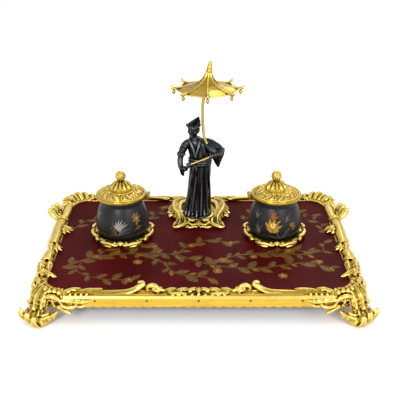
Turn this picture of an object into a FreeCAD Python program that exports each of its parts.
import FreeCAD, Part
import math
import os
import Sketcher
from FreeCAD import Placement, Rotation, Vector

# Desk set: lacquer tray on scroll feet, two hinged inkwells and a robed figure with a parasol.
# Millimetres, +Z up, +Y to the back, the table at z = 0 and the tray centred on the Z axis.

DRIVING_SIZES = (
    ("opening_length", 312, "visible length of the lacquer panel"),
    ("opening_depth", 217, "visible depth of the lacquer panel"),
    ("opening_radius", 20, "inner corner radius of the frame"),
    ("panel_height", 32, "panel top above the table"),
    ("panel_thickness", 2, "lacquer panel"),
    ("board_thickness", 10, "wooden tray board"),
    ("rail_width", 12.5, "plan width of the moulded rails"),
    ("rail_rise", 4, "ridge of the rails above the panel"),
    ("rail_lip", 3, "overlap of the rails over the panel edge"),
    ("rail_nosing", 0.8, "overhang of the rails past the apron face"),
    ("apron_thickness", 1.2, "nailed strip"),
    ("apron_height", 10, "nailed strip above its scallops"),
    ("lobe_pitch", 10, "scallop spacing on the apron"),
    ("lobe_depth", 1.3, "scallop drop"),
    ("nail_margin", 7, "outer nail to the tip of the foot wing"),
    ("nail_shank", 1.0, "nail shank diameter"),
    ("nail_head", 2.2, "nail head diameter"),
    ("nail_length", 7, "nail shank under the head"),
    ("toe_reach", 14, "toe roll axis outside the frame corner"),
    ("toe_radius", 6.4, "radius of the toe roll"),
    ("toe_width", 27, "length of the toe roll"),
    ("ankle_width", 15, "leg width at the ankle"),
    ("knee_width", 26, "leg width at the knee"),
    ("leg_thickness", 9, "leg depth at the ankle"),
    ("wing_length", 25, "leaf wing along the apron"),
    ("wing_thickness", 2.4, "leaf wing"),
    ("lug_thickness", 2.5, "foot plate under the board"),
    ("screw_diameter", 3, "foot screws"),
    ("crest_reach", 58, "crest scroll from the middle of the front rail"),
    ("crest_rise", 9, "crest scroll above the panel"),
    ("band_length", 7, "tie bands on the side rails"),
    ("ear_reach", 11, "shell ears past the side rails"),
    ("ear_rise", 12, "shell ears above the panel"),
    ("well_reach", 87.3, "inkwell axis from the middle"),
    ("well_back", 15.8, "inkwell axis behind the middle"),
    ("mount_radius", 32, "inkwell mount rim"),
    ("mount_rise", 7, "inkwell mount rim above the panel"),
    ("mount_floor", 2.5, "inkwell mount plate"),
    ("pot_foot", 20, "pot foot radius"),
    ("pot_belly", 30, "pot belly radius"),
    ("pot_neck", 23.6, "pot neck radius"),
    ("pot_height", 45.2, "pot from foot to mouth"),
    ("pot_wall", 2.2, "pot wall"),
    ("pot_ledge", 1.4, "ledge inside the pot for the liner"),
    ("ledge_drop", 3.5, "liner ledge below the pot mouth"),
    ("liner_wall", 1.5, "glass liner wall"),
    ("liner_gap", 0.3, "liner to pot"),
    ("collar_height", 1.5, "collar ring on the pot mouth"),
    ("collar_overhang", 0.4, "collar ring past the pot neck"),
    ("lid_radius", 28.7, "lid rim"),
    ("lid_edge", 4, "lid rim thickness"),
    ("lid_dome", 10.6, "lid seat of the finial above the collar"),
    ("lid_shell", 1.6, "lid wall"),
    ("hinge_reach", 30.3, "hinge axis from the inkwell axis"),
    ("barrel_radius", 1.9, "hinge knuckle"),
    ("barrel_length", 16, "hinge over its three knuckles"),
    ("pin_radius", 0.8, "hinge pin"),
    ("running_fit", 0.05, "radial clearance of the turning knuckle"),
    ("seat_gap", 0.1, "closed lid over the collar"),
    ("side_gap", 0.35, "clearance beside moving pieces"),
    ("rosette_radius", 9.4, "finial rosette"),
    ("ball_radius", 5.7, "finial ball"),
    ("finial_height", 19.4, "finial over the lid"),
    ("bolt_radius", 2, "fixing bolts"),
    ("plinth_width", 70, "figure mount"),
    ("plinth_depth", 78, "figure mount, front to back"),
    ("plinth_rise", 4, "top of the figure mount above the panel"),
    ("figure_inset", 40.5, "figure axis in front of the back rail"),
    ("figure_height", 120.6, "figure from sole to hat"),
    ("shaft_radius", 1.4, "parasol shaft"),
    ("canopy_shift", 10, "parasol axis right of the middle"),
    ("canopy_radius", 36.8, "canopy ribs at the hem"),
    ("canopy_base", 158, "canopy hem above the panel"),
    ("canopy_rise", 20, "canopy from hem to finial"),
    ("canopy_skin", 1.2, "canopy wall"),
    ("horn_reach", 5.2, "upturned tips past the hem"),
    ("crown_lean", 2, "crown of the canopy to the right of its hem"),
    ("spire_rise", 12.5, "finial above the canopy"),
    ("drop_radius", 2, "ball drops"),
)

RIB_COUNT = 8
NAILS_LONG = 5
NAILS_SHORT = 3
PIERCED_ANGLE = 26
MOUNT_LOBES = 16
ROSETTE_PETALS = 10


class Size:
    """A length that carries its value and the sheet expression that drives it."""

    def __init__(self, value, text):
        self.value = float(value)
        self.text = text

    def __add__(self, other):
        other = sized(other)
        return Size(self.value + other.value, "(%s + %s)" % (self.text, other.text))

    def __radd__(self, other):
        return sized(other) + self

    def __sub__(self, other):
        other = sized(other)
        return Size(self.value - other.value, "(%s - %s)" % (self.text, other.text))

    def __rsub__(self, other):
        return sized(other) - self

    def __mul__(self, other):
        other = sized(other)
        return Size(self.value * other.value, "(%s * %s)" % (self.text, other.text))

    def __rmul__(self, other):
        return sized(other) * self

    def __truediv__(self, other):
        other = sized(other)
        return Size(self.value / other.value, "(%s / %s)" % (self.text, other.text))

    def __neg__(self):
        return Size(-self.value, "(0 - %s)" % self.text)

    def root(self):
        return Size(math.sqrt(self.value), "sqrt(%s)" % self.text)

    def floor(self):
        return Size(math.floor(self.value), "floor(%s)" % self.text)


def sized(value):
    return value if isinstance(value, Size) else Size(value, "%.6f" % value)


doc = FreeCAD.newDocument("DeskSet")
sheet = doc.addObject("Spreadsheet::Sheet", "Sizes")
size = {}
for row, (alias, number, meaning) in enumerate(DRIVING_SIZES, start=1):
    sheet.set("A%d" % row, meaning)
    sheet.set("B%d" % row, str(number))
    sheet.setAlias("B%d" % row, alias)
doc.recompute()
for alias, number, meaning in DRIVING_SIZES:
    size[alias] = Size(getattr(sheet, alias), "Sizes.%s" % alias)
mm = {alias: entry.value for alias, entry in size.items()}


def bind(item, prop, entry):
    """Drive one property of a document object by a sheet expression."""
    entry = sized(entry)
    item.setExpression(prop, entry.text)


def place(item, x=0, y=0, z=0):
    """Drive the place of a document object."""
    x, y, z = sized(x), sized(y), sized(z)
    item.Placement = Placement(Vector(x.value, y.value, z.value), Rotation())
    for axis, entry in (("x", x), ("y", y), ("z", z)):
        item.setExpression("Placement.Base.%s" % axis, entry.text)


def new_body(label):
    body = doc.addObject("PartDesign::Body", label)
    body.Label = label
    return body


def origin_feature(body, role):
    return [item for item in body.Origin.OriginFeatures if item.Role == role][0]


def new_sketch(body, role, offset=None):
    sketch = body.newObject("Sketcher::SketchObject", "Outline")
    sketch.AttachmentSupport = [(origin_feature(body, role), "")]
    sketch.MapMode = "FlatFace"
    if offset is not None:
        offset = sized(offset)
        sketch.AttachmentOffset = Placement(Vector(0, 0, offset.value), Rotation())
        sketch.setExpression("AttachmentOffset.Base.z", offset.text)
    return sketch


def arc_geometry(start, end, sagitta):
    """Arc over a chord; a positive sagitta bulges to the right of the way from start to end."""
    chord = end - start
    half = chord.Length / 2
    radius = (half * half + sagitta * sagitta) / (2 * abs(sagitta))
    side = Vector(chord.y, -chord.x, 0)
    side.normalize()
    sign = 1 if sagitta > 0 else -1
    centre = (start + end) * 0.5 + side * (sagitta - sign * radius)
    first = math.atan2(start.y - centre.y, start.x - centre.x)
    last = math.atan2(end.y - centre.y, end.x - centre.x)
    circle = Part.Circle(centre, Vector(0, 0, 1), radius)
    if sign > 0:
        if last < first:
            last += 2 * math.pi
        return Part.ArcOfCircle(circle, first, last), True
    if first < last:
        first += 2 * math.pi
    return Part.ArcOfCircle(circle, last, first), False


def draw(sketch, outline):
    """Closed outline of (x, y) or (x, y, sagitta to the next point), every point and arc driven."""
    count = len(outline)
    points = [(sized(p[0]), sized(p[1])) for p in outline]
    ends = []
    for index, entry in enumerate(outline):
        x, y = points[index]
        nx, ny = points[(index + 1) % count]
        start = Vector(x.value, y.value, 0)
        end = Vector(nx.value, ny.value, 0)
        if len(entry) > 2:
            rise = sized(entry[2])
            curve, forward = arc_geometry(start, end, rise.value)
            number = sketch.addGeometry(curve, False)
            ends.append((number, 1, 2) if forward else (number, 2, 1))
        else:
            number = sketch.addGeometry(Part.LineSegment(start, end), False)
            ends.append((number, 1, 2))
    for index in range(count):
        number, first, last = ends[index]
        after, after_first, after_last = ends[(index + 1) % count]
        sketch.addConstraint(Sketcher.Constraint("Coincident", number, last, after, after_first))
    for index, entry in enumerate(outline):
        number, first, last = ends[index]
        x, y = points[index]
        for kind, value in (("DistanceX", x), ("DistanceY", y)):
            rule = sketch.addConstraint(Sketcher.Constraint(kind, -1, 1, number, first, value.value))
            sketch.setExpression("Constraints[%d]" % rule, value.text)
        if len(entry) > 2:
            nx, ny = points[(index + 1) % count]
            rise = sized(entry[2])
            if rise.value < 0:
                rise = -rise
            chord = (nx - x) * (nx - x) + (ny - y) * (ny - y)
            radius = (chord / 4 + rise * rise) / (2 * rise)
            rule = sketch.addConstraint(Sketcher.Constraint("Radius", number, radius.value))
            sketch.setExpression("Constraints[%d]" % rule, radius.text)


def ring(sketch, x, y, radius):
    """A driven circle."""
    x, y, radius = sized(x), sized(y), sized(radius)
    circle = Part.Circle(Vector(x.value, y.value, 0), Vector(0, 0, 1), radius.value)
    number = sketch.addGeometry(circle, False)
    for kind, value in (("DistanceX", x), ("DistanceY", y)):
        rule = sketch.addConstraint(Sketcher.Constraint(kind, -1, 1, number, 3, value.value))
        sketch.setExpression("Constraints[%d]" % rule, value.text)
    rule = sketch.addConstraint(Sketcher.Constraint("Radius", number, radius.value))
    sketch.setExpression("Constraints[%d]" % rule, radius.text)


def pad(body, sketch, length, both_ways=False, backward=False):
    length = sized(length)
    feature = body.newObject("PartDesign::Pad", "Pad")
    feature.Profile = sketch
    feature.Length = length.value
    bind(feature, "Length", length)
    feature.Midplane = both_ways
    feature.Reversed = backward
    sketch.Visibility = False
    return feature


def pocket(body, sketch, length, both_ways=False, backward=False):
    length = sized(length)
    feature = body.newObject("PartDesign::Pocket", "Pocket")
    feature.Profile = sketch
    feature.Length = length.value
    bind(feature, "Length", length)
    feature.Midplane = both_ways
    feature.Reversed = backward
    return feature


def turn(body, sketch):
    feature = body.newObject("PartDesign::Revolution", "Turned")
    feature.Profile = sketch
    feature.ReferenceAxis = (sketch, ["V_Axis"])
    feature.Angle = 360
    return feature


def row_of(body, feature, role, length, count):
    """Repeat a feature along an origin axis."""
    length, count = sized(length), sized(count)
    pattern = body.newObject("PartDesign::LinearPattern", "Row")
    pattern.Originals = [feature]
    pattern.Direction = (origin_feature(body, role), [""])
    pattern.Length = length.value
    pattern.Occurrences = int(count.value)
    bind(pattern, "Length", length)
    bind(pattern, "Occurrences", count)
    body.Tip = pattern
    return pattern


def casting(label, shape, x=0, y=0, z=0):
    """A free-form piece with its shape worked out in code from the sheet."""
    item = doc.addObject("Part::Feature", label)
    item.Label = label
    item.Shape = shape
    place(item, x, y, z)
    return item


def mirrored(label, source, across):
    item = doc.addObject("Part::Mirroring", label)
    item.Label = label
    item.Source = source
    item.Normal = across
    item.Base = Vector(0, 0, 0)
    return item


def joined(label, items):
    item = doc.addObject("Part::MultiFuse", label)
    item.Label = label
    item.Shapes = items
    return item


def tapered(points, radii, flat=1.0):
    """Rod that follows a smooth path and changes thickness; flat squashes the sections."""
    path = Part.BSplineCurve()
    path.interpolate([Vector(*p) for p in points])
    wires = []
    for point, radius in zip(points, radii):
        at = path.parameter(Vector(*point))
        tangent = path.tangent(at)[0]
        if flat == 1.0:
            section = Part.Circle(Vector(*point), tangent, radius)
        else:
            across = tangent.cross(Vector(0, 0, 1))
            across.normalize()
            upward = across.cross(tangent)
            start = Vector(*point)
            section = Part.Ellipse(start + across * radius, start + upward * radius * flat, start)
        wires.append(Part.Wire([section.toShape()]))
    return Part.makeLoft(wires, True)


def closed_curve(points):
    curve = Part.BSplineCurve()
    curve.interpolate([Vector(*p) for p in points], PeriodicFlag=True)
    return Part.Wire([curve.toShape()])


def ovoid(centre, half_x, half_y, half_z):
    """Ellipsoid round a centre."""
    grow = FreeCAD.Matrix()
    grow.scale(half_x, half_y, half_z)
    grow.move(Vector(*centre))
    return Part.makeSphere(1.0).transformGeometry(grow)


def fused(shapes):
    """One solid out of overlapping pieces."""
    result = shapes[0].multiFuse(shapes[1:]) if len(shapes) > 1 else shapes[0]
    solids = result.Solids
    if len(solids) != 1:
        raise RuntimeError("a casting fell into %d solids" % len(solids))
    return solids[0]


# Tray outline, taken outwards from the visible opening
board_top = size["panel_height"] - size["panel_thickness"]
board_bottom = board_top - size["board_thickness"]
half_length = size["opening_length"] / 2
half_depth = size["opening_depth"] / 2
board_edge = size["rail_width"] - size["rail_nosing"] - size["apron_thickness"]
figure_back = half_depth - size["figure_inset"]
corner_x = half_length - size["opening_radius"]
corner_y = half_depth - size["opening_radius"]
well_places = [(-size["well_reach"], size["well_back"]), (size["well_reach"], size["well_back"])]
lug_radius = size["opening_radius"] * 0.55
screw_reach = lug_radius * 0.35


def rounded_plate(body, outward, length):
    """Rounded rectangle that stands a given way outside the frame opening, with the bolt holes."""
    reach_x = half_length + outward
    reach_y = half_depth + outward
    radius = size["opening_radius"] + outward
    rise = radius * (1 - math.sqrt(0.5))
    sketch = new_sketch(body, "XY_Plane")
    draw(sketch, [
        (-corner_x, -reach_y), (corner_x, -reach_y, rise),
        (reach_x, -corner_y), (reach_x, corner_y, rise),
        (corner_x, reach_y), (-corner_x, reach_y, rise),
        (-reach_x, corner_y), (-reach_x, -corner_y, rise)])
    for x, y in well_places:
        ring(sketch, x, y, size["bolt_radius"])
    ring(sketch, 0, figure_back, size["bolt_radius"])
    return pad(body, sketch, length)


board = new_body("tray_board")
rounded_plate(board, board_edge, size["board_thickness"])
place(board, 0, 0, board_bottom)
pilots = new_sketch(board, "XY_Plane")
for sign_x in (-1, 1):
    for sign_y in (-1, 1):
        ring(
            pilots, sign_x * (corner_x + screw_reach), sign_y * (corner_y + screw_reach),
            size["screw_diameter"] / 2)
pocket(board, pilots, size["board_thickness"] * 0.7, backward=True)

panel = new_body("lacquer_panel")
rounded_plate(panel, size["rail_lip"], size["panel_thickness"])
place(panel, 0, 0, board_top)

# Rail moulding: distance out from the opening, height over the panel, arc rise to the next point
bead_rise = size["rail_rise"] - 1.5


def rail_outline(flip=1):
    width = size["rail_width"]
    outline = [
        (0, 0), (0, 0.9), (width * 0.16, 1.4, -bead_rise), (width * 0.74, 1.5), (width * 0.78, 0.5, -0.5),
        (width, -0.7), (width, -size["panel_thickness"]), (size["rail_lip"], -size["panel_thickness"]),
        (size["rail_lip"], 0)]
    if flip > 0:
        return outline
    return [tuple([-p[0]] + [p[1]] + [-sized(v) for v in p[2:]]) for p in outline]


def rail(label, role, length, flip):
    body = new_body(label)
    sketch = new_sketch(body, role)
    draw(sketch, rail_outline(flip))
    pad(body, sketch, length, both_ways=True)
    return body


front_moulding = rail("front_moulding", "YZ_Plane", corner_x * 2, -1)
place(front_moulding, 0, -half_depth, size["panel_height"])
back_rail = rail("back_rail", "YZ_Plane", corner_x * 2, 1)
place(back_rail, 0, half_depth, size["panel_height"])

# Crest of the front rail: two hooked scrolls that face each other over a row of leaf lobes
ridge_y = -(mm["opening_depth"] / 2 + mm["rail_width"] * 0.45)
rise = mm["crest_rise"]


def crest_scroll(side):
    reach = mm["crest_reach"]
    path = [
        (24, 0.9), (14, 1.9), (5, rise * 0.66), (-1, rise * 0.86), (-5.2, rise * 0.66), (-4.4, rise * 0.3)]
    points = [(side * (reach + dx), ridge_y - 0.12 * index, z) for index, (dx, z) in enumerate(path)]
    return tapered(points, [1.7, 2.3, 2.7, 2.5, 2.0, 1.3])


def crest_leaf(side, offset, length, height):
    return ovoid((side * offset, ridge_y, 1.8), length, 4.6, height)


def inner_scroll(side):
    reach = mm["crest_reach"]
    path = [(-22, 1.4), (-17, rise * 0.36), (-13, rise * 0.62), (-9.6, rise * 0.52), (-9.4, rise * 0.24)]
    points = [(side * (reach + dx), ridge_y - 0.1 * index, z) for index, (dx, z) in enumerate(path)]
    return tapered(points, [1.5, 2.0, 2.1, 1.7, 1.1])


crest_shapes = [crest_leaf(1, 0, 10, 4.2)]
for side in (-1, 1):
    crest_shapes.append(crest_scroll(side))
    crest_shapes.append(inner_scroll(side))
    crest_shapes.append(crest_leaf(side, mm["crest_reach"] * 0.42, 9, 3.4))
crests = []
under_crest = Part.makeBox(400, 40, 40, Vector(-200, ridge_y - 20, 0.2 - 40))
for index, shape in enumerate(crest_shapes):
    piece = max(shape.cut(under_crest).Solids, key=lambda solid: solid.Volume)
    crests.append(casting("crest_%d" % index, piece, 0, 0, size["panel_height"]))
front_rail = joined("front_rail", [front_moulding] + crests)

# Side rails: moulding with tie bands, leaf fans over the panel, a shell ear and shellwork
side_moulding = rail("side_moulding", "XZ_Plane", corner_y * 2, 1)
place(side_moulding, half_length, 0, size["panel_height"])
width = size["rail_width"]
for offset in (-0.576, -0.1, 0.56):
    sketch = new_sketch(side_moulding, "XZ_Plane", -(corner_y * offset))
    draw(sketch, [(width * 0.06, 0.5, -(size["rail_rise"] + 0.7)), (width * 0.86, 0.5)])
    pad(side_moulding, sketch, size["band_length"], both_ways=True)


def leaf_fan(along, reach):
    """Three leaves that spread from the rail over the panel."""
    leaves = [Part.makeSphere(3.0, Vector(0.4, 0, 3.2))]
    for angle, share, root in ((-42, 0.8, 1.2), (0, 1.0, 2.4), (42, 0.8, 1.5)):
        tip = reach * share
        leaf = tapered([(root, 0, 2.6), (-tip * 0.5, 0, 4.0), (-tip, 0, 2.4)], [1.8 + root * 0.2, 2.2, 0.7])
        leaf.rotate(Vector(0, 0, 0), Vector(0, 0, 1), angle)
        leaves.append(leaf)
    for leaf in leaves:
        leaf.translate(Vector(mm["rail_width"] * 0.3, along, 0))
    return fused(leaves)


def shell_ear():
    """Three lobes that flare outward and up from the rail."""
    along = corner_y.value
    rim = mm["rail_width"]
    high = mm["ear_rise"]
    lobes = []
    for tip_share, reach_share, rise_share in ((0.68, 1.0, 1.0), (0.775, 0.8, 1.04), (0.86, 0.55, 1.0)):
        root = along * (0.77 + (tip_share - 0.77) * 0.5)
        tip = along * tip_share
        reach = rim + mm["ear_reach"] * reach_share
        lobes.append(tapered(
            [(rim * 0.4, root, 2.4), (rim * 0.94, root * 0.5 + tip * 0.5, high * 0.44),
             (reach - 4.0, root * 0.1 + tip * 0.9, high * 0.76), (reach, tip, high * rise_share)],
            [3.4, 3.5, 2.7, 0.9]))
    return fused(lobes)


def shellwork():
    """Lumps of shellwork at the front end of the rail, with a leaf tip over the panel."""
    along = -corner_y.value
    rim = mm["rail_width"]
    lumps = []
    for across, share, z, radius in ((0.48, 0.836, -1.2, 6.0), (0.76, 0.92, 0.2, 5.0), (0.2, 0.905, -0.2, 4.6)):
        lumps.append(Part.makeSphere(radius, Vector(rim * across, along * share, z)))
    lumps.append(tapered(
        [(rim * 0.24, along * 0.905, 2.4), (-3, along * 0.942, 2.6), (-8.8, along * 0.97, 1.6)],
        [3.0, 2.2, 0.8]))
    below = Part.makeBox(60, 120, 20, Vector(-30, along - 20, 0.2 - 20))
    return fused(lumps).cut(below).Solids[0]


side_pieces = [side_moulding]
for index, shape in enumerate((
        leaf_fan(corner_y.value * 0.26, 14), leaf_fan(corner_y.value * -0.27, 9.5), shell_ear(),
        shellwork())):
    side_pieces.append(casting("side_ornament_%d" % index, shape, half_length, 0, size["panel_height"]))
right_rail = joined("right_rail", side_pieces)
left_rail = mirrored("left_rail", right_rail, Vector(1, 0, 0))

# Apron strips with a scalloped lower edge and pilot holes for the nails
apron_face = board_edge + size["apron_thickness"]
apron_bottom = board_top - size["apron_height"]
nail_height = size["apron_height"] * 0.62


def apron(label, role, axis, span, count, inward):
    body = new_body(label)
    sketch = new_sketch(body, role)
    draw(sketch, [
        (-(span / 2), 0), (span / 2, 0), (span / 2, size["apron_height"]),
        (-(span / 2), size["apron_height"])])
    pad(body, sketch, size["apron_thickness"], backward=inward)
    lobes = (span / size["lobe_pitch"]).floor()
    pitch = span / lobes
    lobe = new_sketch(body, role)
    draw(
        lobe, [(-(span / 2), 0, size["lobe_depth"]), (pitch - span / 2, 0), (pitch - span / 2, 0.5),
        (-(span / 2), 0.5)])
    feature = pad(body, lobe, size["apron_thickness"], backward=inward)
    row_of(body, feature, axis, span - pitch, lobes)
    first = span / 2 - size["wing_length"] - size["nail_margin"]
    hole = new_sketch(body, role)
    ring(hole, -first, nail_height, size["nail_shank"] / 2)
    cut = pocket(body, hole, size["apron_thickness"], backward=not inward)
    row_of(body, cut, axis, first * 2, sized(count))
    return body, first


front_apron, first_long = apron("front_apron", "XZ_Plane", "X_Axis", corner_x * 2, NAILS_LONG, False)
place(front_apron, 0, -(half_depth + board_edge), apron_bottom)
back_apron = mirrored("back_apron", front_apron, Vector(0, 1, 0))
right_apron, first_short = apron("right_apron", "YZ_Plane", "Y_Axis", corner_y * 2, NAILS_SHORT, False)
place(right_apron, half_length + board_edge, 0, apron_bottom)
left_apron = mirrored("left_apron", right_apron, Vector(1, 0, 0))

nails = []
nail_z = (apron_bottom + nail_height).value
face_y = (half_depth + apron_face).value
face_x = (half_length + apron_face).value


def nail(base, inward):
    """Round nail with a low domed head that lies on the apron face."""
    shank = Part.makeCylinder(mm["nail_shank"] / 2, mm["nail_length"], base, inward)
    dome = Part.makeCone(mm["nail_head"] / 2, mm["nail_head"] / 4, mm["nail_head"] / 4, base, inward * -1)
    return fused([shank, dome])


for index in range(NAILS_LONG):
    along = first_long.value * (2 * index / (NAILS_LONG - 1) - 1)
    nails.append(nail(Vector(along, -face_y, nail_z), Vector(0, 1, 0)))
    nails.append(nail(Vector(along, face_y, nail_z), Vector(0, -1, 0)))
for index in range(NAILS_SHORT):
    along = first_short.value * (2 * index / (NAILS_SHORT - 1) - 1)
    nails.append(nail(Vector(-face_x, along, nail_z), Vector(1, 0, 0)))
    nails.append(nail(Vector(face_x, along, nail_z), Vector(-1, 0, 0)))
apron_nails = casting("apron_nails", Part.makeCompound(nails))

# Corner feet, drawn for the front right corner about the corner axis and mirrored to the others


def outline_face(outline):
    """The rail section as a face in the XZ plane."""
    edges = []
    count = len(outline)
    for index, entry in enumerate(outline):
        after = outline[(index + 1) % count]
        start = Vector(sized(entry[0]).value, sized(entry[1]).value, 0)
        end = Vector(sized(after[0]).value, sized(after[1]).value, 0)
        if len(entry) > 2:
            curve, forward = arc_geometry(start, end, sized(entry[2]).value)
            edges.append(curve.toShape())
        else:
            edges.append(Part.LineSegment(start, end).toShape())
    face = Part.Face(Part.Wire(Part.__sortEdges__(edges)))
    face.rotate(Vector(0, 0, 0), Vector(1, 0, 0), 90)
    return face


def corner_sweep(face):
    """Turn a section in the XZ plane through the front right corner, from -Y round to +X."""
    face.rotate(Vector(0, 0, 0), Vector(0, 0, 1), -90)
    return face.revolve(Vector(0, 0, 0), Vector(0, 0, 1), 90)


def oval_wire(centre, across, upward, half_across, half_up):
    curve = Part.Ellipse(centre + across * half_across, centre + upward * half_up, centre)
    if half_up > half_across:
        curve = Part.Ellipse(centre + upward * half_up, centre - across * half_across, centre)
    return Part.Wire([curve.toShape()])


def foot_shape():
    opening = mm["opening_radius"]
    outer = opening + mm["rail_width"]
    skirt_inner = opening + board_edge.value
    top = mm["panel_height"]
    under = board_bottom.value
    section = outline_face(rail_outline())
    section.translate(Vector(opening, 0, top))
    pieces = [corner_sweep(section)]
    skirt_outer = outer - 0.3
    skirt_low = under - mm["lug_thickness"]
    skirt = Part.Face(Part.makePolygon([Vector(x, 0, z) for x, z in (
        (skirt_inner, skirt_low), (skirt_outer, skirt_low), (skirt_outer, board_top.value + 0.5),
        (skirt_inner, board_top.value + 0.5), (skirt_inner, skirt_low))]))
    skirt = corner_sweep(skirt)
    # Pierced openings on both sides of the knee
    window = mm["board_thickness"] * 0.42
    for angle in (-45 - PIERCED_ANGLE, -45 + PIERCED_ANGLE):
        heading = Vector(math.cos(math.radians(angle)), math.sin(math.radians(angle)), 0)
        middle_z = under + mm["board_thickness"] * 0.5
        skirt = skirt.cut(Part.makeCylinder(window, outer, heading * 5 + Vector(0, 0, middle_z), heading))
    pieces.append(skirt)
    lug = Part.makeCylinder(
        skirt_inner + 0.6, mm["lug_thickness"], Vector(0, 0, under - mm["lug_thickness"]), Vector(0, 0, 1), 90)
    lug.rotate(Vector(0, 0, 0), Vector(0, 0, 1), -90)
    pieces.append(lug)
    # Leg: oval sections that go down and out along the corner diagonal
    out = Vector(math.sqrt(0.5), -math.sqrt(0.5), 0)
    across = Vector(math.sqrt(0.5), math.sqrt(0.5), 0)
    up = Vector(0, 0, 1)
    toe_axis = outer + mm["toe_reach"]
    toe_radius = mm["toe_radius"]
    drop = (top - toe_radius)
    knee = mm["knee_width"]
    thick = mm["leg_thickness"]
    stations = (
        (outer - 3.5, top + 1.2, knee * 0.34, 4.2, -40),
        (outer + 0.6, top - 0.12 * drop, knee * 0.46, 5.0, -20),
        (outer + 2.0, top - 0.40 * drop, knee * 0.44, thick * 0.54, -4),
        (outer + 3.2, top - 0.68 * drop, mm["ankle_width"] * 0.56, thick * 0.48, -14),
        (outer + 6.0, top - 0.88 * drop, mm["ankle_width"] * 0.54, thick * 0.46, -40),
        (toe_axis, toe_radius, mm["toe_width"] * 0.38, toe_radius * 0.7, -72),
    )
    wires = []
    for radius, height, half_across, half_out, lean in stations:
        turned = Rotation(across, lean)
        wires.append(oval_wire(out * radius + up * height, across, turned.multVec(out), half_across, half_out))
    pieces.append(Part.makeLoft(wires, True))
    # Toe: a roll of three lobes lying across the diagonal
    lobe = mm["toe_width"] / 3
    for index in (-1, 0, 1):
        grow = FreeCAD.Matrix()
        grow.scale(toe_radius, lobe * 0.72, toe_radius)
        grow.rotateZ(math.radians(-45))
        grow.move(out * (toe_axis - 1.2 * abs(index)) + across * (index * lobe) + up * (toe_radius * 0.9))
        pieces.append(Part.makeSphere(1.0).transformGeometry(grow))
    # Braces from the ankle to the wings, and the leaf wings along both aprons
    face = opening + apron_face.value
    run = mm["wing_length"]
    half = mm["wing_thickness"] / 2
    middle = (board_top.value + apron_bottom.value) / 2
    for turn_over in (False, True):
        toe_end = out * (toe_axis - 2.0) - across * (mm["toe_width"] * 0.42) + up * toe_radius
        shoulder = Vector(-run * 0.2, -(face + half), middle - 3.5)
        span = shoulder - toe_end
        brace = tapered(
            [tuple(toe_end), tuple(toe_end + span * 0.34 + Vector(0, 0, -0.6)),
             tuple(toe_end + span * 0.68 + Vector(0, -0.6, -0.4)), tuple(shoulder),
             (-run * 0.62, -(face + half), middle + 0.8)],
            [4.4, 3.6, 3.1, 2.8, 1.6])
        leaf = closed_curve([
            (2, 0, middle - 4.6), (-run * 0.3, 0, middle - 4.4), (-run * 0.55, 0, middle - 5.6),
            (-run * 0.74, 0, middle - 2.8), (-run * 0.9, 0, middle - 3.4), (-run, 0, middle - 0.6),
            (-run * 0.92, 0, middle + 2.2), (-run * 0.78, 0, middle + 1.8), (-run * 0.6, 0, middle + 4.2),
            (-run * 0.3, 0, middle + 4.4), (2, 0, middle + 4.6), (3.5, 0, middle)])
        wing = Part.Face(leaf).extrude(Vector(0, -mm["wing_thickness"], 0))
        wing.translate(Vector(0, -face, 0))
        for piece in (brace, wing):
            if turn_over:
                piece = piece.mirror(Vector(0, 0, 0), Vector(math.sqrt(0.5), math.sqrt(0.5), 0))
            pieces.append(piece)
    foot = fused(pieces)
    # Room for the board, the panel, the aprons and the rails beside the casting
    reach = 80
    behind = skirt_inner
    keep_clear = Part.makeCylinder(behind, mm["board_thickness"], Vector(0, 0, under), Vector(0, 0, 1))
    for low, high, edge in (
            (under, board_top.value, behind), (board_top.value, top, opening + mm["rail_lip"])):
        block = Part.makeCylinder(edge, high - low, Vector(0, 0, low), Vector(0, 0, 1))
        long_x = Part.makeBox(reach, 2 * edge, high - low, Vector(-reach, -edge, low))
        long_y = Part.makeBox(2 * edge, reach, high - low, Vector(-edge, 0, low))
        keep_clear = keep_clear.fuse([block, long_x, long_y])
    above = Part.makeCylinder(opening, reach, Vector(0, 0, top), Vector(0, 0, 1))
    beside = []
    strip_low = apron_bottom.value - mm["lobe_depth"] - 0.2
    for mirror_over in (False, True):
        strip = Part.makeBox(reach, face + 0.01, board_top.value - strip_low, Vector(-reach, -face, strip_low))
        moulding = Part.makeBox(reach, 40, 30, Vector(-reach, -40, board_top.value))
        for piece in (strip, moulding):
            if mirror_over:
                piece = piece.mirror(Vector(0, 0, 0), Vector(math.sqrt(0.5), math.sqrt(0.5), 0))
            beside.append(piece)
    table = Part.makeBox(4 * reach, 4 * reach, reach, Vector(-2 * reach, -2 * reach, -reach))
    reach_in = screw_reach.value
    screw_hole = Part.makeCylinder(
        mm["screw_diameter"] / 2, reach, Vector(reach_in, -reach_in, under - reach), Vector(0, 0, 1))
    foot = foot.cut([keep_clear, above, table, screw_hole] + beside)
    if len(foot.Solids) != 1:
        foot = max(foot.Solids, key=lambda solid: solid.Volume)
    else:
        foot = foot.Solids[0]
    return foot


front_right_foot = casting("front_right_foot", foot_shape(), corner_x, -corner_y, 0)
front_left_foot = mirrored("front_left_foot", front_right_foot, Vector(1, 0, 0))
back_right_foot = mirrored("back_right_foot", front_right_foot, Vector(0, 1, 0))
back_left_foot = mirrored("back_left_foot", back_right_foot, Vector(1, 0, 0))

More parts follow.
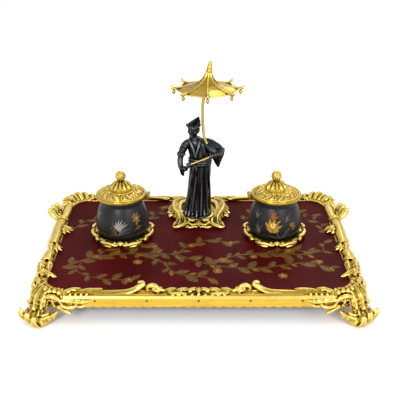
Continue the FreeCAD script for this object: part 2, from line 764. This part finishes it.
screws = []
lug_under = (board_bottom - size["lug_thickness"]).value
for sign_x in (-1, 1):
    for sign_y in (-1, 1):
        base = Vector(
            sign_x * (corner_x + screw_reach).value, sign_y * (corner_y + screw_reach).value, lug_under)
        shank = Part.makeCylinder(
            mm["screw_diameter"] / 2 - 0.05, mm["lug_thickness"] + mm["board_thickness"] * 0.6, base)
        head = Part.makeCylinder(mm["screw_diameter"], mm["screw_diameter"] * 0.5, base, Vector(0, 0, -1))
        slot = Part.makeBox(
            mm["screw_diameter"] * 3, 0.7, 0.7,
            base + Vector(-mm["screw_diameter"] * 1.5, -0.35, -mm["screw_diameter"] * 0.5))
        screws.append(fused([shank, head]).cut(slot).Solids[0])
foot_screws = casting("foot_screws", Part.makeCompound(screws))

# Inkwells: drawn for the right one about its own axis, z from the panel top


def well_casting(name, shape):
    return casting("right_" + name, shape, size["well_reach"], size["well_back"], size["panel_height"])


def well_body(name):
    body = new_body("right_" + name)
    place(body, size["well_reach"], size["well_back"], size["panel_height"])
    return body


pot_base = size["mount_floor"]
mouth = pot_base + size["pot_height"]
collar_top = mouth + size["collar_height"]
lid_base = collar_top + size["seat_gap"]
hinge_z = collar_top + size["seat_gap"] / 2


def scalloped_wire(radius, depth, lobes, z):
    points = []
    for step in range(lobes * 4):
        angle = math.pi * step / (lobes * 2)
        reach = radius + depth * math.cos(lobes * angle)
        points.append((reach * math.cos(angle), reach * math.sin(angle), z))
    return closed_curve(points)


def mount_shape():
    """Dish with a scalloped wall, hollowed for the pot, and four scrolled ears."""
    rim = mm["mount_radius"]
    rise_to = mm["mount_rise"]
    floor_z = mm["mount_floor"]
    levels = ((-3.6, 0.3, 0.0), (-0.6, 1.0, 0.35), (1.2, 1.5, 0.75), (0.0, 1.3, 1.0))
    wall = Part.makeLoft(
        [scalloped_wire(rim + out, depth, MOUNT_LOBES, rise_to * share) for out, depth, share in levels],
        True)
    bowl = Part.makePolygon([Vector(x, 0, z) for x, z in (
        (0, floor_z), (rim - 5.6, floor_z), (rim - 3.4, rise_to * 0.8), (rim - 2.4, rise_to + 1),
        (0, rise_to + 1),
        (0, floor_z))])
    bowl = Part.Face(bowl).revolve(Vector(0, 0, 0), Vector(0, 0, 1), 360)
    hole = Part.makeCylinder(mm["bolt_radius"], rise_to, Vector(0, 0, -1))
    shapes = [wall.cut([bowl, hole]).Solids[0]]
    for angle in (22.5, 157.5, 202.5, 337.5):
        ear = tapered(
            [(rim - 2.2, -6.0, rise_to * 0.7), (rim + 0.8, 0, rise_to), (rim + 0.2, 5.6, rise_to * 1.25)],
            [2.2, 2.2, 0.9])
        ear.rotate(Vector(0, 0, 0), Vector(0, 0, 1), angle)
        shapes.append(ear)
    return fused(shapes)


right_mount = well_casting("inkwell_mount", mount_shape())

right_pot = well_body("pot")
foot_r, belly, neck, wall = size["pot_foot"], size["pot_belly"], size["pot_neck"], size["pot_wall"]
low, high = pot_base, mouth
belly_z = low + size["pot_height"] * 0.36
shoulder_z = low + size["pot_height"] * 0.8
neck_z = low + size["pot_height"] * 0.88
base_inside = low + wall * 1.25
ledge_z = high - size["ledge_drop"]
mouth_in = neck - wall
throat = mouth_in - size["pot_ledge"]
sketch = new_sketch(right_pot, "XZ_Plane")
draw(sketch, [
    (size["bolt_radius"], low), (foot_r, low, (belly - foot_r) * 0.36),
    (belly, belly_z, (belly - neck) * 0.17),
    (neck, neck_z), (neck, high), (mouth_in, high), (mouth_in, ledge_z), (throat, ledge_z),
    (throat, shoulder_z, -((belly - neck) * 0.28)),
    (belly - wall, belly_z, -((belly - foot_r) * 0.30)),
    (foot_r - wall * 0.5, base_inside), (size["bolt_radius"], base_inside)])
turn(right_pot, sketch)

right_liner = well_body("liner")
liner_out = throat - size["liner_gap"]
liner_in = liner_out - size["liner_wall"]
liner_base = base_inside + 4.5
flange_out = mouth_in - size["liner_gap"]
flange_top = ledge_z + size["liner_wall"]
sketch = new_sketch(right_liner, "XZ_Plane")
draw(sketch, [
    (0, liner_base), (liner_out - 2.5, liner_base, 0.73), (liner_out, liner_base + 2.5), (liner_out, ledge_z),
    (flange_out, ledge_z), (flange_out, flange_top), (liner_in, flange_top),
    (liner_in, liner_base + 3.6, -0.6), (liner_in - 2.0, liner_base + size["liner_wall"]),
    (0, liner_base + size["liner_wall"])])
turn(right_liner, sketch)

right_collar = well_body("collar")
collar_in = mouth_in
collar_out = neck + size["collar_overhang"]
sketch = new_sketch(right_collar, "XZ_Plane")
draw(sketch, [(collar_in, high), (collar_out, high), (collar_out, collar_top), (collar_in, collar_top)])
turn(right_collar, sketch)
third = size["barrel_length"] / 3
barrel = size["barrel_radius"]
hinge_x = -size["hinge_reach"]
bore = size["pin_radius"]


def knuckle(body, centre_y, length, lug_from, lug_low, lug_high, hole):
    """One barrel of the hinge with the lug that ties it to its ring."""
    lug = new_sketch(body, "XZ_Plane", -sized(centre_y))
    draw(lug, [(hinge_x, lug_low), (lug_from, lug_low), (lug_from, lug_high), (hinge_x, lug_high)])
    pad(body, lug, length, both_ways=True)
    tube = new_sketch(body, "XZ_Plane", -sized(centre_y))
    ring(tube, hinge_x, hinge_z, barrel)
    pad(body, tube, length, both_ways=True)
    drilled = new_sketch(body, "XZ_Plane", -sized(centre_y))
    ring(drilled, hinge_x, hinge_z, hole)
    return pocket(body, drilled, length + 1, both_ways=True)


for side in (-1, 1):
    knuckle(right_collar, third * side, third, -(collar_in + 1.2), high + 0.1, collar_top - 0.25, bore)

right_lid = well_body("lid")
edge = size["lid_edge"]
rim = size["lid_radius"]
seat_top = collar_top + size["lid_dome"]
shell = size["lid_shell"]
spigot_out = collar_in - size["side_gap"]
spigot_in = spigot_out - shell
spigot_low = flange_top + 0.5
boss = size["rosette_radius"] + 0.8
sketch = new_sketch(right_lid, "XZ_Plane")
draw(sketch, [
    (spigot_out, spigot_low), (spigot_out, lid_base), (rim - 0.7, lid_base), (rim, lid_base + 0.7),
    (rim, lid_base + edge * 0.6, 0.45), (rim - 1.6, lid_base + edge), (rim - 3.2, lid_base + edge),
    (rim - 3.8, lid_base + edge * 0.86, 1.3), (boss + 4.6, seat_top - 3.4), (boss + 4.2, seat_top - 2.0),
    (boss + 2.2, seat_top - 1.8), (boss + 1.2, seat_top - 0.4), (boss, seat_top),
    (size["bolt_radius"] * 0.75, seat_top),
    (size["bolt_radius"] * 0.75, seat_top - shell), (boss, seat_top - shell),
    (boss + 2.6, seat_top - shell - 3.2),
    (spigot_in, lid_base + edge * 0.4), (spigot_in, spigot_low)])
turn(right_lid, sketch)
relief = barrel + size["side_gap"]
for side in (-1, 1):
    sketch = new_sketch(right_lid, "XZ_Plane", -(third * side))
    ring(sketch, hinge_x, hinge_z, relief)
    pocket(right_lid, sketch, third + size["side_gap"], both_ways=True)
lid_knuckle = third - size["side_gap"] * 2
knuckle(
    right_lid, 0, lid_knuckle, -(rim - 1.2), hinge_z + size["seat_gap"] + 0.3, hinge_z + barrel,
    bore + size["running_fit"])

right_pin = doc.addObject("Part::Cylinder", "right_hinge_pin")
right_pin.Label = "right_hinge_pin"
bind(right_pin, "Radius", bore)
bind(right_pin, "Height", size["barrel_length"] + 0.8)
right_pin.Placement = Placement(Vector(0, 0, 0), Rotation(Vector(1, 0, 0), 90))
bind(right_pin, "Placement.Base.x", size["well_reach"] + hinge_x)
bind(right_pin, "Placement.Base.y", size["well_back"] + size["barrel_length"] / 2 + 0.4)
bind(right_pin, "Placement.Base.z", size["panel_height"] + hinge_z)


def finial_shape():
    base = seat_top.value
    rosette = mm["rosette_radius"]
    ball = mm["ball_radius"]
    tip = base + mm["finial_height"]
    neck_top = tip - 2 * ball
    cone = Part.makePolygon([Vector(x, 0, z) for x, z in (
        (0, base), (rosette * 0.86, base), (rosette * 0.9, base + 1.0), (rosette * 0.62, base + 2.4),
        (3.6, base + 4.0), (2.6, base + 5.2), (2.3, neck_top - 0.5), (3.1, neck_top - 0.1),
        (3.1, neck_top + 0.9),
        (0, neck_top + 0.9), (0, base))])
    shapes = [Part.Face(cone).revolve(Vector(0, 0, 0), Vector(0, 0, 1), 360)]
    for index in range(ROSETTE_PETALS):
        petal = ovoid((rosette * 0.72, 0, base + 1.1), rosette * 0.28, rosette * 0.25, 1.05)
        petal.rotate(Vector(0, 0, 0), Vector(0, 0, 1), 360.0 * index / ROSETTE_PETALS)
        shapes.append(petal)
    shapes.append(Part.makeSphere(ball, Vector(0, 0, tip - ball)))
    stud = mm["bolt_radius"] * 0.75
    shapes.append(Part.makeCylinder(stud, mm["lid_shell"] + 3.0, Vector(0, 0, base - mm["lid_shell"] - 3.0)))
    return fused(shapes)


right_finial = well_casting("lid_finial", finial_shape())


def hex_nut(bore_radius, across, thick, z):
    flats = [
        Vector(across * math.cos(math.radians(60 * k)), across * math.sin(math.radians(60 * k)),
        z) for k in range(7)]
    blank = Part.Face(Part.makePolygon(flats)).extrude(Vector(0, 0, thick))
    return blank.cut(Part.makeCylinder(bore_radius, thick, Vector(0, 0, z))).Solids[0]


stud_radius = mm["bolt_radius"] * 0.75
under_lid = (seat_top - shell).value
right_finial_nut = well_casting("finial_nut", hex_nut(stud_radius, stud_radius * 2.0, 2.0, under_lid - 2.0))


def bolt_shape():
    """Pan-head bolt from the pot floor down through mount, panel and board."""
    top = base_inside.value
    bottom = (board_bottom - size["panel_height"]).value - 6.0
    radius = mm["bolt_radius"]
    shank = Part.makeCylinder(radius, top - bottom, Vector(0, 0, bottom))
    head = Part.makeCone(radius * 2.4, radius * 1.5, radius * 1.2, Vector(0, 0, top))
    return fused([shank, head])


right_bolt = well_casting("inkwell_bolt", bolt_shape())
under_board = (board_bottom - size["panel_height"]).value
right_nut = well_casting(
    "inkwell_nut", hex_nut(mm["bolt_radius"], mm["bolt_radius"] * 2.1, 3.2, under_board - 3.2))

WELL_NAMES = (
    "inkwell_mount", "pot", "liner", "collar", "lid", "hinge_pin", "lid_finial", "finial_nut",
    "inkwell_bolt", "inkwell_nut")
right_wells = (
    right_mount, right_pot, right_liner, right_collar, right_lid, right_pin, right_finial,
    right_finial_nut, right_bolt,
    right_nut)
left_wells = [mirrored("left_" + name, item, Vector(1, 0, 0)) for name, item in zip(WELL_NAMES, right_wells)]

# Figure mount: lobed plate with a raised stand and scrolled rims


def plinth_shape():
    half = mm["plinth_width"] / 2
    back = mm["opening_depth"] / 2 - 0.6
    front = back - mm["plinth_depth"]
    mid = (front + back) / 2
    deep = (back - front) / 2
    rise_to = mm["plinth_rise"]
    outline = []
    for across, along in (
            (0.0, -0.88), (0.26, -0.84), (0.5, -0.94), (0.70, -0.98), (0.62, -0.72), (0.66, -0.44),
            (0.92, -0.14),
            (0.98, 0.26), (0.86, 0.62), (0.66, 0.9), (0.3, 0.96)):
        outline.append((across * half, mid + along * deep, 0))
    left = [(-x, y, z) for x, y, z in reversed(outline[1:])]
    plate = Part.Face(closed_curve(outline + [(0, mid + 0.92 * deep, 0)] + left))
    shapes = [plate.extrude(Vector(0, 0, rise_to * 0.6))]
    stand = Part.Ellipse(Vector(0, 0, 0), half * 0.68, half * 0.56).toShape()
    stand = Part.Face(Part.Wire([stand])).extrude(Vector(0, 0, rise_to))
    stand.translate(Vector(0, figure_back.value, 0))
    shapes.append(stand)
    for side in (-1, 1):
        rim_path = [
            (side * half * 0.42, back - 3.4, rise_to * 0.9), (side * half * 0.74, back - 9, rise_to * 1.0),
            (side * half * 0.90, mid + deep * 0.3, rise_to * 0.95),
            (side * half * 0.84, mid - deep * 0.2, rise_to * 0.85),
            (side * half * 0.64, mid - deep * 0.62, rise_to * 0.8),
            (side * half * 0.42, mid - deep * 0.74, rise_to * 0.85),
            (side * half * 0.36, mid - deep * 0.54, rise_to * 0.95)]
        shapes.append(tapered(rim_path, [1.6, 2.4, 2.8, 2.8, 2.5, 2.0, 1.4]))
        shapes.append(Part.makeSphere(3.0, Vector(side * half * 0.22, front + 4.6, rise_to * 0.3)))
    shapes.append(Part.makeSphere(3.3, Vector(0, front + 4.2, rise_to * 0.36)))
    plinth = fused(shapes)
    below = Part.makeBox(200, 200, 20, Vector(-100, 0, -20))
    hole = Part.makeCylinder(mm["bolt_radius"], 40, Vector(0, figure_back.value, -20))
    return plinth.cut([below, hole]).Solids[0]


figure_mount = casting("figure_mount", plinth_shape(), 0, 0, size["panel_height"])

# Figure, z from its sole, scaled to the stated height
figure_z = size["panel_height"] + size["plinth_rise"]
scale = mm["figure_height"] / 120.6
back_y = figure_back.value


def at(x, y, z):
    """A point of the figure, given for its full height, relative to its axis."""
    return (x * scale, y * scale, z * scale)


def fold_section(centre_x, centre_y, half_x, half_y, z, depth, folds, phase):
    """Robe section with soft folds round it."""
    points = []
    for step in range(36):
        angle = 2 * math.pi * step / 36
        swell = 1 + depth * math.cos(folds * angle + phase)
        points.append(at(
            centre_x + half_x * swell * math.cos(angle), centre_y + half_y * swell * math.sin(angle), z))
    return closed_curve(points)


def robe_shape():
    stations = (
        (-2.4, -3.0, 17.4, 14.2, 0.0, 0.05), (-2.2, -1.6, 15.4, 12.6, 8.0, 0.05),
        (-0.8, 0, 13.2, 11.2, 24.0, 0.04),
        (0.8, 0, 12.8, 10.8, 44.0, 0.035), (2.0, 0, 12.6, 10.4, 60.0, 0.02), (1.6, 0, 12.2, 9.8, 72.0, 0.01),
        (-0.4, 0.4, 12.8, 9.4, 84.0, 0.005), (-2.4, 0.8, 11.4, 8.2, 91.5, 0.0),
        (-4.6, 0.6, 4.6, 4.6, 97.2, 0.0))
    wires = [fold_section(x, y, hx, hy, z, depth, 9, 0.6) for x, y, hx, hy, z, depth in stations]
    robe = Part.makeLoft(wires, True)
    train = tapered(
        [at(-8, 6, 3.2), at(-16, 5, 3.0), at(-21.5, 2, 2.0)], [4.6 * scale, 4.0 * scale, 1.2 * scale])
    shoes = [ovoid(at(x, -17.2, 1.6), 3.0 * scale, 4.2 * scale, 1.7 * scale) for x in (-6.5, 3.5)]
    robe = fused([robe, train] + shoes)
    below = Part.makeBox(200, 200, 20, Vector(-100, -100, -20))
    hole = Part.makeCylinder(mm["bolt_radius"], 12, Vector(0, 0, -1))
    return robe.cut([below, hole]).Solids[0]


robe = robe_shape()


def head_shape():
    neck_base = 97.2
    neck_rod = Part.makeCone(
        3.8 * scale, 3.4 * scale, 7.0 * scale, Vector(*at(-4.9, 0.4, neck_base)), Vector(-0.08, -0.1, 1))
    skull = ovoid((0, 0, 0), 6.4 * scale, 7.3 * scale, 8.8 * scale)
    jaw = ovoid((0, -1.5 * scale, -4.1 * scale), 4.7 * scale, 5.4 * scale, 4.8 * scale)
    nose = Part.makeCone(
        0.6 * scale, 1.3 * scale, 3.8 * scale, Vector(0, -7.1 * scale, 0.6 * scale), Vector(0, -0.3, -1))
    hair = ovoid((0, 6.2 * scale, -1.4 * scale), 4.0 * scale, 3.2 * scale, 4.2 * scale)
    face = fused([skull, jaw, nose, hair])
    face.rotate(Vector(0, 0, 0), Vector(0, 0, 1), -22)
    face.translate(Vector(*at(-6.0, -0.6, 106.2)))
    below = Part.makeBox(60, 60, 60, Vector(*at(-4.9, 0.4, neck_base)) + Vector(-30, -30, -60))
    return fused([face, neck_rod]).cut(below).Solids[0]


head = head_shape()


def hat_shape():
    wires = []
    for offset_x, offset_y, z, half_x, half_y in (
            (-5.9, -0.4, 110.4, 8.4, 8.2), (-5.7, -0.2, 112.8, 8.2, 7.9), (-3.6, 0.8, 116.4, 6.0, 5.6),
            (-1.2, 1.8, 119.4, 2.7, 2.7), (0.3, 2.4, 120.6, 0.9, 0.9)):
        curve = Part.Ellipse(Vector(*at(offset_x, offset_y, z)), half_x * scale, half_y * scale)
        wires.append(Part.Wire([curve.toShape()]))
    cap = Part.makeLoft(wires, True)
    brim = tapered(
        [at(-9.0, -3.0, 111.8), at(-12.4, -4.4, 112.8), at(-14.4, -5.4, 114.8)],
        [3.0 * scale, 1.9 * scale, 0.6 * scale])
    button = Part.makeSphere(1.0 * scale, Vector(*at(0.2, 2.4, 119.58)))
    return fused([cap, brim, button])


hat = hat_shape().cut(head)
hat = max(hat.Solids, key=lambda solid: solid.Volume)

# Parasol shaft: one bent rod from the canopy over the shoulder, through the left hand to the right hand
canopy_z = mm["canopy_base"] - mm["plinth_rise"]
hub_low = canopy_z + mm["canopy_rise"] * 0.22
shaft_x = mm["canopy_shift"]
shaft_radius = mm["shaft_radius"]
left_fist = at(14.8, -12.9, 77.4)
right_fist = at(-11.2, -15.0, 67.4)
shaft_points = [
    (shaft_x, 0, hub_low + 8), (shaft_x - 0.5, 0, hub_low), (shaft_x - 2.0, 0, hub_low - 6),
    at(5.8, 0, 143.0),
    at(4.7, -0.3, 132.0), at(4.9, -1.4, 118.0), at(5.6, -3.0, 106.0), at(6.8, -4.6, 97.6),
    at(9.4, -5.8, 91.4),
    at(13.6, -8.2, 86.0), at(17.0, -11.0, 81.4), at(17.2, -12.5, 78.6), left_fist, at(7.0, -13.7, 74.2),
    right_fist,
    at(-14.6, -15.3, 66.1)]
shaft_curve = Part.BSplineCurve()
shaft_curve.interpolate([Vector(*p) for p in shaft_points])
shaft_start = Vector(*shaft_points[0])
profile = Part.Wire([Part.Circle(shaft_start, shaft_curve.tangent(0)[0], shaft_radius).toShape()])
shaft = Part.Wire([shaft_curve.toShape()]).makePipeShell([profile], True, True)
shaft = Part.Solid(shaft) if shaft.ShapeType != "Solid" else shaft


def right_arm_shape():
    upper = tapered(
        [at(-9, 0.5, 90), at(-14.0, 0, 88.0), at(-18.0, -1.0, 82.5), at(-20.2, -2.2, 76.5)],
        [5.0 * scale, 5.0 * scale, 4.6 * scale, 3.9 * scale])
    ruffle = ovoid(at(-20.4, -2.0, 76.4), 4.9 * scale, 4.9 * scale, 2.2 * scale)
    lower = tapered(
        [at(-20.2, -2.2, 77.0), at(-21.6, -5.0, 68.6), at(-20.2, -9.0, 61.8), at(-16.4, -12.6, 61.2),
         at(-12.6, -14.6, 65.6)], [3.6 * scale, 3.5 * scale, 3.3 * scale, 2.9 * scale, 2.4 * scale])
    cuff = tapered(
        [at(-19.6, -8.4, 62.6), at(-18.8, -7.4, 56.0), at(-17.4, -6.4, 50.2)],
        [3.2 * scale, 2.4 * scale, 0.7 * scale])
    hand = Part.makeSphere(3.0 * scale, Vector(*right_fist))
    return fused([upper, ruffle, lower, cuff, hand])


def left_arm_shape():
    upper = tapered(
        [at(5.5, 1.0, 89.6), at(12, 0.6, 89.6), at(19.5, -0.6, 86.2), at(25.4, -2.0, 82.6)],
        [5.0 * scale, 5.2 * scale, 4.8 * scale, 4.4 * scale])
    drape = [
        Part.makeSphere(5.2 * scale, Vector(*at(11.2, -4.6, 87.2))),
        Part.makeSphere(5.0 * scale, Vector(*at(15.9, -8.2, 83.4)))]
    lower = tapered(
        [at(25.4, -2.2, 82.4), at(24.6, -6.6, 80.4), at(20.8, -10.8, 78.8), at(15.6, -12.8, 77.6)],
        [4.4 * scale, 3.9 * scale, 3.4 * scale, 2.7 * scale])
    wires = []
    for x, y, z, half_x, half_y in (
            (22.0, -1.6, 84.0, 8.4, 3.9), (22.6, -2.0, 76.5, 7.2, 3.7), (22.3, -1.6, 68.5, 4.8, 2.8),
            (23.2, -1.0, 59.0, 0.9, 0.8)):
        curve = Part.Ellipse(Vector(*at(x, y, z)), half_x * scale, half_y * scale)
        wires.append(Part.Wire([curve.toShape()]))
    sleeve = Part.makeLoft(wires, True)
    hand = Part.makeSphere(3.1 * scale, Vector(*left_fist))
    return fused([upper] + drape + [lower, sleeve, hand])


right_arm = max(right_arm_shape().cut([robe, shaft]).Solids, key=lambda solid: solid.Volume)
left_arm = max(left_arm_shape().cut([robe, shaft]).Solids, key=lambda solid: solid.Volume)
figure_bodies = []
for name, shape in (
        ("figure_robe", robe), ("figure_head", head), ("figure_hat", hat), ("figure_right_arm", right_arm),
        ("figure_left_arm", left_arm), ("parasol_shaft", shaft)):
    figure_bodies.append(casting(name, shape, 0, figure_back, figure_z))

figure_bolt_length = mm["plinth_rise"] + mm["panel_thickness"] + mm["board_thickness"] + 10.0
shank = Part.makeCylinder(mm["bolt_radius"], figure_bolt_length)
bolt_head = Part.makeCylinder(
    mm["bolt_radius"] * 2.4, mm["bolt_radius"] * 1.2, Vector(0, 0, 0), Vector(0, 0, -1))
figure_bolt = casting("figure_bolt", fused([shank, bolt_head]), 0, figure_back, board_bottom)

# Parasol canopy: eight ribbed panels lofted to a small crown, with a hub and an upturned tip on every rib


def canopy_wire(radius, sag, z, lean):
    """Ribs at a radius, with the panels between them drawn in towards the axis."""
    edges = []
    for index in range(RIB_COUNT):
        first = 2 * math.pi * index / RIB_COUNT - math.pi / 2
        last = first + 2 * math.pi / RIB_COUNT
        middle = (first + last) / 2
        inner = radius * math.cos(math.pi / RIB_COUNT) * (1 - sag)
        edges.append(Part.Arc(
            Vector(lean + radius * math.cos(first), radius * math.sin(first), z),
            Vector(lean + inner * math.cos(middle), inner * math.sin(middle), z),
            Vector(lean + radius * math.cos(last), radius * math.sin(last), z)).toShape())
    return Part.Wire(edges)


CANOPY_PROFILE = (
    (0.0, 1.0, 0.05), (0.07, 0.86, 0.045), (0.2, 0.59, 0.04), (0.365, 0.36, 0.03), (0.54, 0.23, 0.02),
    (0.75, 0.145, 0.01), (1.0, 0.105, 0.01))


def canopy_solid(inset, lift):
    wires = []
    for share, part, sag in CANOPY_PROFILE:
        radius = max(mm["canopy_radius"] * part - inset, 1.0)
        z = share * mm["canopy_rise"] - (lift if share > 0.0 else 0.0)
        wires.append(canopy_wire(radius, sag, z, mm["crown_lean"] * share * share))
    return Part.makeLoft(wires, True, False)


def canopy_shape():
    skin = mm["canopy_skin"]
    outer = canopy_solid(0.0, 0.0)
    inner = canopy_solid(skin, skin)
    shell_shape = outer.cut(inner)
    hub = Part.makeCylinder(3.4, mm["canopy_rise"] * 0.62, Vector(0, 0, mm["canopy_rise"] * 0.36))
    hub = hub.common(outer)
    shapes = [shell_shape, hub]
    reach = mm["canopy_radius"]
    for index in range(RIB_COUNT):
        horn = tapered(
            [(reach - 5.0, 0, 1.15), (reach - 1.0, 0, 0.9), (reach + mm["horn_reach"] * 0.6, 0, 1.6),
             (reach + mm["horn_reach"], 0, 4.2)], [1.3, 1.7, 1.6, 0.6])
        horn.rotate(Vector(0, 0, 0), Vector(0, 0, 1), 360.0 * index / RIB_COUNT - 90)
        shapes.append(horn)
    return fused(shapes)


canopy = canopy_shape()
local_shaft = shaft.copy()
local_shaft.translate(Vector(-shaft_x, 0, -canopy_z))
canopy = max(canopy.cut(local_shaft).Solids, key=lambda solid: solid.Volume)
canopy_base = size["panel_height"] + size["canopy_base"]
parasol_canopy = casting("parasol_canopy", canopy, size["canopy_shift"], figure_back, canopy_base)

ferrule = Part.makePolygon([Vector(x, 0, z) for x, z in (
    (0.4, 0), (2.6, 0), (3.2, -1.2), (2.4, -2.4), (2.9, -3.4), (2.0, -5.0), (0.4, -5.0), (0.4, 0))])
ferrule = Part.Face(ferrule).revolve(Vector(0, 0, 0), Vector(0, 0, 1), 360)
hub_bottom = mm["canopy_rise"] * 0.36
ferrule.translate(Vector(0, 0, hub_bottom))
ferrule = max(ferrule.cut(local_shaft).Solids, key=lambda solid: solid.Volume)
parasol_ferrule = casting("parasol_ferrule", ferrule, size["canopy_shift"], figure_back, canopy_base)

crown = mm["canopy_radius"] * CANOPY_PROFILE[-1][1]
spire = mm["spire_rise"]
wires = []
for share, radius, shift in (
        (0.0, crown * 0.88, 0.0), (0.16, crown * 0.92, 0.1), (0.3, crown * 0.74, 0.3),
        (0.44, crown * 0.8, 0.5),
        (0.62, crown * 0.64, 0.8), (0.86, crown * 0.54, 1.2), (1.0, crown * 0.26, 1.4)):
    centre = Vector(mm["crown_lean"] + shift, 0, share * spire)
    wires.append(Part.Wire([Part.Circle(centre, Vector(0, 0, 1), radius).toShape()]))
finial_top = Part.makeLoft(wires, True)
parasol_finial = casting(
    "parasol_finial", finial_top, size["canopy_shift"], figure_back, canopy_base + size["canopy_rise"])

drops = []
for index in range(RIB_COUNT):
    reach = mm["canopy_radius"] + mm["horn_reach"] * 0.22
    stem = Part.makeCylinder(0.6, 3.0, Vector(reach, 0, -2.0))
    ball = Part.makeSphere(mm["drop_radius"], Vector(reach, 0, -1.3 - mm["drop_radius"]))
    drop = fused([stem, ball])
    drop.rotate(Vector(0, 0, 0), Vector(0, 0, 1), 360.0 * index / RIB_COUNT - 90)
    drop = max(drop.cut(canopy).Solids, key=lambda solid: solid.Volume)
    drops.append(drop)
parasol_drops = casting(
    "parasol_drops", Part.makeCompound(drops), size["canopy_shift"], figure_back, canopy_base)

doc.recompute()

nodes = [
    board, panel, front_rail, back_rail, left_rail, right_rail, front_apron, back_apron, left_apron,
    right_apron,
    apron_nails, front_left_foot, front_right_foot, back_left_foot, back_right_foot, foot_screws,
    figure_mount,
    figure_bolt, parasol_canopy, parasol_ferrule, parasol_finial, parasol_drops]
nodes += figure_bodies
nodes += right_wells
nodes += left_wells

for item in doc.Objects:
    if "Invalid" in item.State or "Error" in item.State:
        raise RuntimeError("%s is not sound: %s" % (item.Label, item.State))
os.makedirs("parts", exist_ok=True)
for item in nodes:
    shape = item.Shape
    if shape.isNull() or not shape.isValid():
        raise RuntimeError("%s has no valid shape" % item.Label)
    shape.exportStep("parts/%s.step" % item.Label)
print("%d pieces written" % len(nodes))
